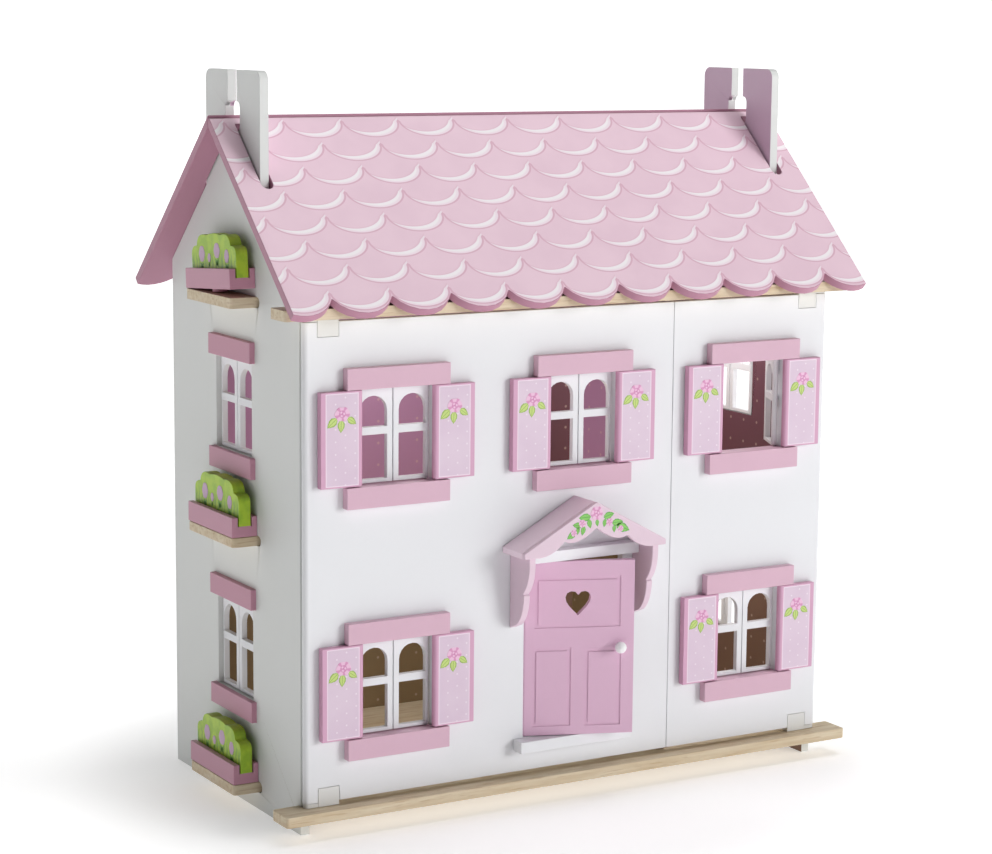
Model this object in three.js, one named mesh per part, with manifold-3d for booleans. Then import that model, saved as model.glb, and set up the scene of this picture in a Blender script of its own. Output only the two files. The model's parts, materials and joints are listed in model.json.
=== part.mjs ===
// A three-storey wooden dollhouse: two gable ends joined by three planks, two hinged roof
// panels, two hinged front panels with windows, shutters and a front door, and flower boxes
// standing on the shelf ends of the planks. Millimetres, +X right, +Y to the back, +Z up.
import * as THREE from 'three';
import { mergeVertices } from 'three/addons/utils/BufferGeometryUtils.js';
import Module from 'manifold-3d';

const wasm = await Module();
wasm.setup();

// ---- Driving dimensions -------------------------------------------------------------------

const ORIGIN_BEHIND_FRONT = 138.018; // from the front panels' outer face back to the origin

const BOARD = 8.7;                   // thickness of gables, floors and front panels
const GAP = 0.3;                     // between pieces that touch
const HALF_WIDTH = 280;              // to the outer faces of the gables
const INNER_HALF = HALF_WIDTH - BOARD;
const GABLE = { front: 9.2, back: 282.65 };
const BACK_WALL = { y: [277.3, 282.3], bottom: 16.4 };

const RIDGE = { y: 143.46, z: 630.3 };
const ROOF_PITCH = Math.atan(0.929);
const ROOF = { thickness: 8, halfWidth: 304.1, length: 238.6, notch: 17.6, scallops: 9, pitch: 58.3 };
const RIDGE_GAP = 0.2;
const RIDGE_REBATE = 3.2;            // the front panel's top corner is cut flat this far below the ridge
const ROOF_SLOT = { from: 11.5, to: 91, halfWidth: 5.65 };
const CHIMNEY = { y: [86.33, 201.59], top: 670.2, corner: 8.5 };
const CHIMNEY_SLOT = [134.74, 153.89];
const RIDGE_HOLE = { y: [128.2, 158.7], z: [615.6, 642.3], corner: 5 };

const FLOORS = {
  ground: { z: [16.4, 26.2], front: -15.2 },
  first: { z: [246.4, 255.2], front: 9.2 },
  attic: { z: [461.8, 471.2], front: -15.2 },
};
const FLOOR_BACK = 277;
const EAR = { reach: 305, back: 15.2, corner: 3 };
const SHELF = { reach: 305, y: [96, 193], corner: 3 };
const SHELF_SLOT = [89, 200];

const PARTITION = { x: 102.75, y: [9.5, FLOOR_BACK], lap: 143 };
const DOORWAY = { y: [165, 235], height: 165 };

const PANEL = { z: [30.5, 458.3], split: PARTITION.x, seam: 0.3 };
const PANEL_AXIS = { x: HALF_WIDTH - BOARD / 2, y: BOARD / 2 };
const PIVOT = { x: [246.5, 267], height: 13, pin: 1.8, hole: 2.1, pinLength: 4.3, holeDepth: 5 };

const WINDOW = {
  half: 38.3, height: 86, tongue: 4.7, tongueRoom: 5,
  barHalf: 51.2, barHeight: 19, frontProud: 9, sideProud: 5, sideY: 145, sideBarHalf: 45,
};
const CASEMENT = {
  axis: 34.05, edge: 36.8, middle: 0.5, y: [3.6, 9.1], z: [1, 85],
  pane: [5.8, 33], lower: [4.2, 43.6], upper: 50.6, archSpring: 64.5, pin: 1.2, pinHole: 1.5,
};
const SHUTTER = { axis: 38.7, edge: 76.5, y: [-8.2, -1.2], z: [1, 85.5], pin: 1.5, pinHole: 1.8 };
const PIN_LENGTH = 3.2;
const PIN_HOLE_DEPTH = 3.5;
const OPEN_CASEMENT = THREE.MathUtils.degToRad(114);

const FRONT_WINDOWS = [
  { name: 'upper_left', x: -191.5, sill: 312.3, panel: 'left' },
  { name: 'upper_centre', x: 1, sill: 312.3, panel: 'left' },
  { name: 'upper_right', x: 191.5, sill: 312.3, panel: 'right', turn: OPEN_CASEMENT },
  { name: 'lower_left', x: -190.5, sill: 86, panel: 'left' },
  { name: 'lower_right', x: 191.5, sill: 91, panel: 'right' },
];
const SIDE_WINDOWS = [
  { name: 'side_upper', sill: 325 },
  { name: 'side_lower', sill: 100 },
];

const DOORWAY_FRONT = { x: [-57, 49.6], z: [62, 227] };
const DOOR = {
  axis: { x: -52.8, y: 4.5 }, half: 3.5, freeEdge: 101.3, z: [62.7, 226.4],
  ajar: THREE.MathUtils.degToRad(21), pin: 1.3, pinHole: 1.6, pinLength: 2.4, pinHoleDepth: 2.8,
};
const DOOR_GROOVE = { width: 3.4, depth: 0.8 };
const DOOR_FIELDS = [
  { x: [8, 88.5], z: [164, 212] },
  { x: [6.5, 42.5], z: [71, 145.5] },
  { x: [55.5, 89.5], z: [70.7, 144] },
];
const HEART = { x: 48.5, bottom: 175.5, notch: 194.7, top: 198.2, half: 12 };
const KNOB = { x: 87.7, z: 145.5, radius: 5.5, stem: 2, reach: 12.5, peg: 1.5, pegHole: 1.8, pegLength: 3 };
const DOOR_HEAD = { x: [-65.7, 59.7], y: [-12.5, -GAP], z: [227.2, 237.5] };
const DOOR_STEP = { x: [-67.5, 52], y: [-15, -GAP], z: [51, 61.8] };

const PORCH = {
  x: -4.8, half: 76, apex: 285, eave: 244, front: -40, fascia: 5, thickness: 5.7,
  flat: 66, flatZ: 238.8, side: 34, sideZ: 251.5, inner: 21, innerZ: 249.5, centreZ: 261.2,
};
const BRACKET = {
  thickness: 6.6, left: -72.6, right: 60, top: 240.5, bottom: 167.5,
  depths: [34.7, 23.5, 25.5, 12.5],
};

const PLANTER = {
  x: [-305, -HALF_WIDTH - GAP], y: [96, 193], height: 18.3,
  groove: [-299.2, -285.3], grooveDepth: 8.7, bush: [-298, -286.5], bushHeight: 40,
  lift: 7.5, peg: 7, pegLength: 3.1,
};

// ---- Colours ------------------------------------------------------------------------------

const paint = (color, roughness = 0.5) => new THREE.MeshStandardMaterial({ color, roughness, metalness: 0 });
const WHITE = paint('#e9e9ee');
const PINK = paint('#e0b6cb');
const PALE_PINK = paint('#ecd3e0');
const DOOR_PINK = paint('#d6a5c2');
const BEECH = paint('#cfb893', 0.6);
const ROOM_COLOUR = paint('#c9b6bf', 0.6);

// ---- Solids -------------------------------------------------------------------------------

/** A closed three.js geometry as a solid that can be joined and cut. */
function toSolid(geometry) {
  const bare = geometry.index ? geometry.toNonIndexed() : geometry.clone();
  bare.deleteAttribute('normal');
  bare.deleteAttribute('uv');
  const merged = mergeVertices(bare, 1e-4);
  return new wasm.Manifold(new wasm.Mesh({
    numProp: 3,
    vertProperties: new Float32Array(merged.attributes.position.array),
    triVerts: new Uint32Array(merged.index.array),
  }));
}

/** A solid back as a three.js geometry. */
function toGeometry(solid) {
  const mesh = solid.getMesh();
  const geometry = new THREE.BufferGeometry();
  geometry.setAttribute('position', new THREE.BufferAttribute(new Float32Array(mesh.vertProperties), 3));
  geometry.setIndex(new THREE.BufferAttribute(new Uint32Array(mesh.triVerts), 1));
  return geometry;
}

const join = (...solids) => solids.reduce((whole, solid) => whole.add(solid));
const cut = (solid, ...tools) => tools.reduce((rest, tool) => rest.subtract(tool), solid);
const around = (centre, half) => [centre - half, centre + half];

/** A box from three [low, high] spans. */
function block(x, y, z) {
  const box = new THREE.BoxGeometry(x[1] - x[0], y[1] - y[0], z[1] - z[0]);
  box.translate((x[0] + x[1]) / 2, (y[0] + y[1]) / 2, (z[0] + z[1]) / 2);
  return toSolid(box);
}

/** A flat outline given thickness along one axis: 'x' reads it as Y-Z, 'y' as X-Z, 'z' as X-Y. */
function slab(outline, axis, span, curveSegments = 5) {
  const depth = span[1] - span[0];
  const board = new THREE.ExtrudeGeometry(outline, { depth, bevelEnabled: false, curveSegments });
  if (axis === 'x') {
    board.applyMatrix4(new THREE.Matrix4().makeBasis(
      new THREE.Vector3(0, 1, 0), new THREE.Vector3(0, 0, 1), new THREE.Vector3(1, 0, 0)));
    board.translate(span[0], 0, 0);
  } else if (axis === 'y') {
    board.rotateX(Math.PI / 2);
    board.translate(0, span[1], 0);
  } else {
    board.translate(0, 0, span[0]);
  }
  return toSolid(board);
}

/** An upright round pin at (x, y), from z[0] to z[1]. */
function pin(x, y, z, radius, sides = 10) {
  const round = new THREE.CylinderGeometry(radius, radius, z[1] - z[0], sides);
  round.rotateX(Math.PI / 2);
  round.translate(x, y, (z[0] + z[1]) / 2);
  return toSolid(round);
}

/** A rectangle with rounded corners, from two [low, high] spans. */
function roundedRectangle(u, v, radius) {
  const shape = new THREE.Shape();
  shape.moveTo(u[0] + radius, v[0]);
  shape.lineTo(u[1] - radius, v[0]);
  shape.absarc(u[1] - radius, v[0] + radius, radius, -Math.PI / 2, 0);
  shape.lineTo(u[1], v[1] - radius);
  shape.absarc(u[1] - radius, v[1] - radius, radius, 0, Math.PI / 2);
  shape.lineTo(u[0] + radius, v[1]);
  shape.absarc(u[0] + radius, v[1] - radius, radius, Math.PI / 2, Math.PI);
  shape.lineTo(u[0], v[0] + radius);
  shape.absarc(u[0] + radius, v[0] + radius, radius, Math.PI, Math.PI * 1.5);
  return shape;
}

/** A closed outline through straight corners. */
function polygon(corners) {
  return new THREE.Shape(corners.map(([u, v]) => new THREE.Vector2(u, v)));
}

/** The plan of a board from its free edge to a hinge edge rounded about (axis, y). */
function hingedPlan(axis, y, half, freeEdge) {
  const side = Math.sign(freeEdge - axis);
  const shape = new THREE.Shape();
  shape.moveTo(freeEdge, y - half);
  shape.lineTo(freeEdge, y + half);
  shape.lineTo(axis, y + half);
  shape.absarc(axis, y, half, Math.PI / 2, -Math.PI / 2, side > 0 ? false : true);
  return shape;
}

/** A named mesh of one solid. */
function piece(name, solid, material) {
  const mesh = new THREE.Mesh(toGeometry(solid), material);
  mesh.name = name;
  return mesh;
}

/** The same, turned by an angle about the upright axis through (x, y). */
function turnedPiece(name, solid, material, axis, angle) {
  const mesh = piece(name, solid.translate([-axis.x, -axis.y, 0]), material);
  mesh.position.set(axis.x, axis.y, 0);
  mesh.rotation.z = angle;
  return mesh;
}

// ---- Gables, walls and floors ----------------------------------------------------------------

/** Height of the roof panels' underside above a point on the floor. */
function underRoof(y) {
  return RIDGE.z - ROOF.thickness / Math.cos(ROOF_PITCH) - Math.tan(ROOF_PITCH) * Math.abs(y - RIDGE.y);
}

/** A gable with its chimney; the sloping edges stay just clear of the roof panels. */
function gableOutline() {
  const clear = 0.4;
  const { y, top, corner } = CHIMNEY;
  const shape = new THREE.Shape();
  shape.moveTo(GABLE.front, 0);
  shape.lineTo(GABLE.back, 0);
  shape.lineTo(GABLE.back, underRoof(GABLE.back) - clear);
  shape.lineTo(y[1], underRoof(y[1]) - clear);
  shape.lineTo(y[1], top - corner);
  shape.absarc(y[1] - corner, top - corner, corner, 0, Math.PI / 2);
  shape.lineTo(y[0] + corner, top);
  shape.absarc(y[0] + corner, top - corner, corner, Math.PI / 2, Math.PI);
  shape.lineTo(y[0], underRoof(y[0]) - clear);
  shape.lineTo(GABLE.front, underRoof(GABLE.front) - clear);
  return shape;
}

/** The hole that clears the roof ridge, with the slot above it that holds the lifted panels. */
function ridgeCut(x) {
  return join(
    slab(roundedRectangle(RIDGE_HOLE.y, RIDGE_HOLE.z, RIDGE_HOLE.corner), 'x', x),
    block(x, CHIMNEY_SLOT, [RIDGE.z, CHIMNEY.top + 1]),
  );
}

/** Lintel and sill bars of a side window on the outer face of a gable. */
function sideTrim(x, sill) {
  const y = around(WINDOW.sideY, WINDOW.sideBarHalf);
  return join(
    block(x, y, [sill - WINDOW.barHeight, sill]),
    block(x, y, [sill + WINDOW.height, sill + WINDOW.height + WINDOW.barHeight]),
  );
}

/** Pin holes for the two casements of a side window, above and below its opening. */
function sidePinHoles(axisX, sill) {
  const low = [sill - PIN_HOLE_DEPTH, sill + 1];
  const high = [sill + WINDOW.height - 1, sill + WINDOW.height + PIN_HOLE_DEPTH];
  return around(WINDOW.sideY, CASEMENT.axis).flatMap((y) => [low, high].map(
    (z) => pin(axisX, y, z, CASEMENT.pinHole)));
}

function gable(side) {
  const faces = [side * INNER_HALF, side * HALF_WIDTH].sort((a, b) => a - b);
  const through = [faces[0] - 10, faces[1] + 10];
  const proud = [side * (HALF_WIDTH - 1), side * (HALF_WIDTH + WINDOW.sideProud)].sort((a, b) => a - b);
  const axisX = side * (HALF_WIDTH - (CASEMENT.y[0] + CASEMENT.y[1]) / 2);
  const trims = SIDE_WINDOWS.map(({ sill }) => sideTrim(proud, sill));
  const wall = join(slab(gableOutline(), 'x', faces), ...trims);
  const shelfSlots = Object.values(FLOORS).map(({ z }) => {
    const slotZ = [z[0] - GAP, z[1] + GAP];
    return slab(roundedRectangle(SHELF_SLOT, slotZ, (slotZ[1] - slotZ[0]) / 2 - 0.01), 'x', through);
  });
  const earNotches = [FLOORS.ground, FLOORS.attic].map(({ z }) => block(
    through, [GABLE.front - 1, EAR.back + GAP], [z[0] - GAP, z[1] + GAP]));
  const openings = SIDE_WINDOWS.map(({ sill }) => block(
    through, around(WINDOW.sideY, WINDOW.half), [sill, sill + WINDOW.height]));
  const pinHoles = SIDE_WINDOWS.flatMap(({ sill }) => sidePinHoles(axisX, sill));
  return cut(wall, ridgeCut(through), ...shelfSlots, ...earNotches, ...openings, ...pinHoles);
}

/** A floor plank with its shelf tenons, and at the front a ledge with ears where it has one. */
function floorPlank({ z, front }) {
  const parts = [
    block(around(0, INNER_HALF - GAP), [front, FLOOR_BACK], z),
    slab(roundedRectangle(around(0, SHELF.reach), SHELF.y, SHELF.corner), 'z', z, 3),
  ];
  if (front < 0) {
    parts.push(slab(roundedRectangle(around(0, EAR.reach), [front, EAR.back], EAR.corner), 'z', z, 3));
  }
  return join(...parts);
}

/** Blind holes near both ends of a ledge for the pins of the front panels' pivots. */
function pivotHoles(z) {
  return around(0, PANEL_AXIS.x).map((x) => pin(x, PANEL_AXIS.y, z, PIVOT.hole));
}

function groundFloor() {
  const top = FLOORS.ground.z[1];
  return cut(floorPlank(FLOORS.ground), ...pivotHoles([top - PIVOT.holeDepth, top + 1]));
}

function firstFloor() {
  const lap = block(
    around(PARTITION.x, BOARD / 2 + GAP), [PARTITION.lap, FLOOR_BACK + 1], [0, HALF_WIDTH]);
  return cut(floorPlank(FLOORS.first), lap);
}

function atticFloor() {
  const bottom = FLOORS.attic.z[0];
  return cut(floorPlank(FLOORS.attic), ...pivotHoles([bottom - 1, bottom + PIVOT.holeDepth]));
}

function backWall() {
  const top = underRoof(BACK_WALL.y[1]) - 0.4;
  return block(around(0, INNER_HALF - GAP), BACK_WALL.y, [BACK_WALL.bottom, top]);
}

/** The upright board between the rooms, half-lapped over the first floor. */
function centrePartition() {
  const x = around(PARTITION.x, BOARD / 2);
  const wide = around(PARTITION.x, BOARD);
  const [groundTop, firstBottom, firstTop] = [FLOORS.ground.z[1], ...FLOORS.first.z];
  return cut(
    block(x, PARTITION.y, [groundTop + GAP, FLOORS.attic.z[0] - GAP]),
    block(wide, [PARTITION.y[0] - 1, PARTITION.lap + GAP], [firstBottom - GAP, firstTop + GAP]),
    ...[groundTop, firstTop].map((z) => block(wide, DOORWAY.y, [z, z + DOORWAY.height])),
  );
}

// ---- Roof ------------------------------------------------------------------------------------

/** The panel's outline: X along the ridge, and the distance down the slope. */
function roofOutline() {
  const halfPitch = ROOF.pitch / 2;
  const radius = (halfPitch ** 2 + ROOF.notch ** 2) / (2 * ROOF.notch);
  const centre = ROOF.length - radius;
  const shape = new THREE.Shape();
  shape.moveTo(ROOF.halfWidth, -10);
  shape.lineTo(-ROOF.halfWidth, -10);
  for (let i = -(ROOF.scallops + 1) / 2; i <= (ROOF.scallops + 1) / 2; i++) {
    const x = i * ROOF.pitch;
    const from = Math.max(x - halfPitch, -ROOF.halfWidth) - x;
    const to = Math.min(x + halfPitch, ROOF.halfWidth) - x;
    shape.absarc(x, centre, radius, Math.acos(from / radius), Math.acos(to / radius), true);
  }
  return shape;
}

/** A roof panel with its two chimney slots, mitred at the ridge, drawn as the front one. */
function roofPanel() {
  const board = new THREE.ExtrudeGeometry(
    roofOutline(), { depth: ROOF.thickness, bevelEnabled: false, curveSegments: 4 });
  const slope = new THREE.Vector3(0, -Math.cos(ROOF_PITCH), -Math.sin(ROOF_PITCH));
  const down = new THREE.Vector3(0, Math.sin(ROOF_PITCH), -Math.cos(ROOF_PITCH));
  const lay = new THREE.Matrix4().makeBasis(new THREE.Vector3(1, 0, 0), slope, down);
  lay.setPosition(0, RIDGE.y, RIDGE.z);
  board.applyMatrix4(lay);
  const mitre = block([-400, 400], [RIDGE.y - RIDGE_GAP, RIDGE.y + 60], [RIDGE.z - 60, RIDGE.z + 60]);
  const slots = around(0, PANEL_AXIS.x).map((x) => {
    const outline = new THREE.Shape();
    outline.moveTo(x - ROOF_SLOT.halfWidth, ROOF_SLOT.from);
    outline.lineTo(x + ROOF_SLOT.halfWidth, ROOF_SLOT.from);
    outline.absarc(x, ROOF_SLOT.to - ROOF_SLOT.halfWidth, ROOF_SLOT.halfWidth, 0, Math.PI);
    const tool = new THREE.ExtrudeGeometry(
      outline, { depth: ROOF.thickness + 2, bevelEnabled: false, curveSegments: 6 });
    tool.translate(0, 0, -1);
    tool.applyMatrix4(lay);
    return toSolid(tool);
  });
  return cut(toSolid(board), mitre, ...slots);
}

// ---- Front panels ----------------------------------------------------------------------------

function frontWindowHoles(panel) {
  const { half, height, tongueRoom } = WINDOW;
  return FRONT_WINDOWS.filter((window) => window.panel === panel).map(({ x, sill }) => block(
    around(x, half), [-1, BOARD + 1], [sill - tongueRoom, sill + height + tongueRoom]));
}

/** Notches in the panel's top and bottom edges that take the pivots. */
function pivotNotches(side) {
  const x = PIVOT.x.map((reach) => side * reach).sort((a, b) => a - b);
  const wide = [x[0] - GAP, x[1] + GAP];
  return [
    block(wide, [-1, BOARD + 1], [PANEL.z[0] - 1, PANEL.z[0] + PIVOT.height + GAP]),
    block(wide, [-1, BOARD + 1], [PANEL.z[1] - PIVOT.height - GAP, PANEL.z[1] + 1]),
  ];
}

/** A front panel before its special cuts, rounded along its hinge edge. */
function blankPanel(side) {
  const split = PANEL.split + side * PANEL.seam;
  return slab(hingedPlan(side * PANEL_AXIS.x, PANEL_AXIS.y, BOARD / 2, split), 'z', PANEL.z, 6);
}

function doorPinHoles() {
  const { x, y } = DOOR.axis;
  const [low, high] = DOORWAY_FRONT.z;
  return [[low - DOOR.pinHoleDepth, low + 1], [high - 1, high + DOOR.pinHoleDepth]].map(
    (z) => pin(x, y, z, DOOR.pinHole));
}

/** The wide left panel, with the front doorway. */
function leftPanel() {
  const doorway = block(DOORWAY_FRONT.x, [-1, BOARD + 1], DOORWAY_FRONT.z);
  return cut(blankPanel(-1), doorway, ...doorPinHoles(), ...frontWindowHoles('left'), ...pivotNotches(-1));
}

function rightPanel() {
  return cut(blankPanel(1), ...frontWindowHoles('right'), ...pivotNotches(1));
}

/** A panel's pivot: a block let into the edge, an arm along the gap and a pin into the plank. */
function panelPivot(side, atTop) {
  const x = PIVOT.x.map((reach) => side * reach).sort((a, b) => a - b);
  const edge = PANEL.z[atTop ? 1 : 0];
  const plank = atTop ? FLOORS.attic.z[0] : FLOORS.ground.z[1];
  const armFace = plank + (atTop ? -0.4 : 0.4);
  const blockEnd = edge + (atTop ? -PIVOT.height : PIVOT.height);
  const armStart = edge + (atTop ? GAP : -GAP);
  const span = (a, b) => [Math.min(a, b), Math.max(a, b)];
  const arm = hingedPlan(side * PANEL_AXIS.x, PANEL_AXIS.y, BOARD / 2 - 0.5, side * PIVOT.x[0]);
  const pinTip = plank + (atTop ? PIVOT.pinLength : -PIVOT.pinLength);
  return join(
    block(x, [0, BOARD], span(armFace, blockEnd)),
    slab(arm, 'z', span(armFace, armStart), 4),
    pin(side * PANEL_AXIS.x, PANEL_AXIS.y, span(armFace - (atTop ? 1 : -1), pinTip), PIVOT.pin),
  );
}

// ---- Windows, in their own frame: x along the wall, y inwards, z up from the sill's top --------

/** A bar on the wall's face, with a tongue through the opening that holds the casements' pins. */
function windowBar(bottom, top, openingEdge) {
  const above = openingEdge === bottom;
  const up = above ? 1 : -1;
  const tongue = [openingEdge, openingEdge + up * WINDOW.tongue].sort((a, b) => a - b);
  const holeEnds = [openingEdge - up, openingEdge + up * PIN_HOLE_DEPTH];
  const holeZ = holeEnds.sort((a, b) => a - b);
  const casementY = (CASEMENT.y[0] + CASEMENT.y[1]) / 2;
  const shutterY = (SHUTTER.y[0] + SHUTTER.y[1]) / 2;
  return cut(
    join(
      block(around(0, WINDOW.barHalf), [-WINDOW.frontProud, -GAP], [bottom, top]),
      block(around(0, WINDOW.half - GAP), [-1, BOARD], tongue),
    ),
    ...around(0, CASEMENT.axis).map((x) => pin(x, casementY, holeZ, CASEMENT.pinHole, 8)),
    ...around(0, SHUTTER.axis).map((x) => pin(x, shutterY, holeZ, SHUTTER.pinHole, 8)),
  );
}

/** Two pins on one axis, out of the top and bottom of a leaf. */
function leafPins(x, y, z, radius) {
  return [
    pin(x, y, [z[0] - PIN_LENGTH, z[0] + 1], radius, 8),
    pin(x, y, [z[1] - 1, z[1] + PIN_LENGTH], radius, 8),
  ];
}

/** A casement with a square pane below and an arched pane above. */
function casement(side) {
  const { y, z, pane, lower, upper, archSpring } = CASEMENT;
  const half = (y[1] - y[0]) / 2;
  const centreY = (y[0] + y[1]) / 2;
  const x = pane.map((reach) => side * reach).sort((a, b) => a - b);
  const radius = (x[1] - x[0]) / 2;
  const arch = new THREE.Shape();
  arch.moveTo(x[0], upper);
  arch.lineTo(x[1], upper);
  arch.absarc(x[0] + radius, archSpring, radius, 0, Math.PI);
  return cut(
    join(
      slab(hingedPlan(side * CASEMENT.axis, centreY, half, side * CASEMENT.middle), 'z', z, 4),
      ...leafPins(side * CASEMENT.axis, centreY, z, CASEMENT.pin),
    ),
    block(x, [0, 20], lower),
    slab(arch, 'y', [0, 20], 5),
  );
}

function shutter(side) {
  const half = (SHUTTER.y[1] - SHUTTER.y[0]) / 2;
  const centreY = (SHUTTER.y[0] + SHUTTER.y[1]) / 2;
  return join(
    slab(hingedPlan(side * SHUTTER.axis, centreY, half, side * SHUTTER.edge), 'z', SHUTTER.z, 4),
    ...leafPins(side * SHUTTER.axis, centreY, SHUTTER.z, SHUTTER.pin),
  );
}

/** The two casements of a window, closed or turned open about their pins. */
function casementPair(name, ends, open = 0) {
  const centreY = (CASEMENT.y[0] + CASEMENT.y[1]) / 2;
  return [-1, 1].map((side, i) => {
    const axis = { x: side * CASEMENT.axis, y: centreY };
    return turnedPiece(`${name}_casement_${ends[i]}`, casement(side), WHITE, axis, -side * open);
  });
}

function frontWindow({ name, x, sill, turn }) {
  const group = new THREE.Group();
  const { height, barHeight } = WINDOW;
  group.position.set(x, 0, sill);
  group.add(
    piece(`${name}_lintel`, windowBar(height, height + barHeight, height), PINK),
    piece(`${name}_sill`, windowBar(-barHeight, 0, 0), PINK),
    piece(`${name}_shutter_left`, shutter(-1), PALE_PINK),
    piece(`${name}_shutter_right`, shutter(1), PALE_PINK),
    ...casementPair(name, ['left', 'right'], turn),
  );
  return group;
}

/** Casements of a left gable window: its right-hand leaf, seen from outside, is the front one. */
function sideWindow({ name, sill }) {
  const group = new THREE.Group();
  group.position.set(-HALF_WIDTH, WINDOW.sideY, sill);
  group.rotation.z = -Math.PI / 2;
  group.add(...casementPair(name, ['rear', 'front']));
  return group;
}

// ---- Front door and porch --------------------------------------------------------------------

function heartOutline() {
  const { x, bottom, notch, top, half } = HEART;
  const shape = new THREE.Shape();
  shape.moveTo(x, bottom);
  shape.bezierCurveTo(x + half * 0.5, bottom + 6, x + half, bottom + 11, x + half, notch - 2);
  shape.bezierCurveTo(x + half, top + 1, x + 2, top + 2, x, notch);
  shape.bezierCurveTo(x - 2, top + 2, x - half, top + 1, x - half, notch - 2);
  shape.bezierCurveTo(x - half, bottom + 11, x - half * 0.5, bottom + 6, x, bottom);
  return shape;
}

/** A shallow groove round a rectangle in the door's outer face. */
function grooveRing({ x, z }) {
  const { width, depth } = DOOR_GROOVE;
  const face = -DOOR.half;
  const outer = block(x, [face - 1, face + depth], z);
  const inside = (span) => [span[0] + width, span[1] - width];
  const inner = block(inside(x), [face - 2, face + depth + 1], inside(z));
  return cut(outer, inner);
}

/** The door leaf, measured from its hinge axis. */
function doorLeaf() {
  const leaf = slab(hingedPlan(0, 0, DOOR.half, DOOR.freeEdge), 'z', DOOR.z, 4);
  const pins = [
    pin(0, 0, [DOOR.z[0] - DOOR.pinLength, DOOR.z[0] + 1], DOOR.pin),
    pin(0, 0, [DOOR.z[1] - 1, DOOR.z[1] + DOOR.pinLength], DOOR.pin),
  ];
  const knobHole = new THREE.CylinderGeometry(KNOB.pegHole, KNOB.pegHole, KNOB.pegLength + 2, 10);
  knobHole.translate(KNOB.x, -DOOR.half + KNOB.pegLength / 2 - 0.5, KNOB.z);
  return cut(
    join(leaf, ...pins),
    slab(heartOutline(), 'y', [-10, 10], 4),
    ...DOOR_FIELDS.map(grooveRing),
    toSolid(knobHole),
  );
}

/** A turned knob on a peg, pointing outwards from the door's face. */
function doorKnob() {
  const { radius, stem, reach, peg, pegLength } = KNOB;
  const ball = new THREE.Path();
  ball.moveTo(0, -pegLength);
  ball.lineTo(peg, -pegLength);
  ball.lineTo(peg, GAP);
  ball.lineTo(stem, GAP);
  ball.absarc(0, reach - radius, radius, -Math.acos(stem / radius), Math.PI / 2);
  const points = ball.getPoints(4);
  points[points.length - 1].x = 0;
  const knob = new THREE.LatheGeometry(points, 16);
  knob.rotateX(Math.PI);
  knob.translate(KNOB.x, -DOOR.half, KNOB.z);
  return toSolid(knob);
}

function frontDoor() {
  const group = new THREE.Group();
  group.position.set(DOOR.axis.x, DOOR.axis.y, 0);
  group.rotation.z = -DOOR.ajar;
  group.add(piece('front_door', doorLeaf(), DOOR_PINK), piece('door_knob', doorKnob(), WHITE));
  return group;
}

/** The front of the porch: a pitched top edge over a lower edge cut into scallops. */
function fasciaOutline() {
  const { half, apex, eave, flat, flatZ, side, sideZ, inner, innerZ, centreZ } = PORCH;
  const shape = new THREE.Shape();
  shape.moveTo(-half, flatZ);
  shape.lineTo(-flat, flatZ);
  shape.quadraticCurveTo(-(flat + side) / 2 + 3, flatZ - 2, -side, sideZ);
  shape.quadraticCurveTo(-inner, innerZ - 5, 0, centreZ);
  shape.quadraticCurveTo(inner, innerZ - 5, side, sideZ);
  shape.quadraticCurveTo((flat + side) / 2 - 3, flatZ - 2, flat, flatZ);
  shape.lineTo(half, flatZ);
  shape.lineTo(half, eave);
  shape.lineTo(0, apex);
  shape.lineTo(-half, eave);
  return shape;
}

/** The porch's two pitched boards, glued along the ridge. */
function porchRoof() {
  const { x, half, apex, eave, front, fascia, thickness } = PORCH;
  const boards = polygon([
    [-half, eave - thickness], [0, apex - thickness], [half, eave - thickness],
    [half, eave], [0, apex], [-half, eave],
  ]);
  return slab(boards, 'y', [front + fascia + GAP, -GAP]).translate([x, 0, 0]);
}

/** The scalloped front across the ends of the porch's boards. */
function porchFront() {
  const { x, front, fascia } = PORCH;
  return slab(fasciaOutline(), 'y', [front, front + fascia], 6).translate([x, 0, 0]);
}

/** A bracket under the porch, standing out from the panel: two bulges with a small step between. */
function porchBracket(left) {
  const { thickness, top, bottom } = BRACKET;
  const [depth, waist, step, foot] = BRACKET.depths;
  const middle = (top + bottom) / 2 - 1;
  const shape = new THREE.Shape();
  shape.moveTo(-GAP, bottom);
  shape.lineTo(-GAP, top);
  shape.lineTo(-depth, top);
  shape.lineTo(-depth, top - 11);
  shape.quadraticCurveTo(-depth + 1, middle + 10, -waist, middle);
  shape.lineTo(-step, middle - 1);
  shape.quadraticCurveTo(-step + 1, bottom + 14, -foot, bottom + 5);
  return slab(shape, 'x', [left, left + thickness], 6);
}

// ---- Flower boxes ----------------------------------------------------------------------------

/** A trough with a groove along its top, and the bush board glued into the groove. */
function plantedBox() {
  const { x, y, height, groove, grooveDepth, bush } = PLANTER;
  const floor = height - grooveDepth;
  return join(
    cut(block(x, y, [0, height]), block(groove, [y[0] - 1, y[1] + 1], [floor, height + 1])),
    slab(bushOutline(), 'x', bush, 4).translate([0, 0, floor]),
  );
}

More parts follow.
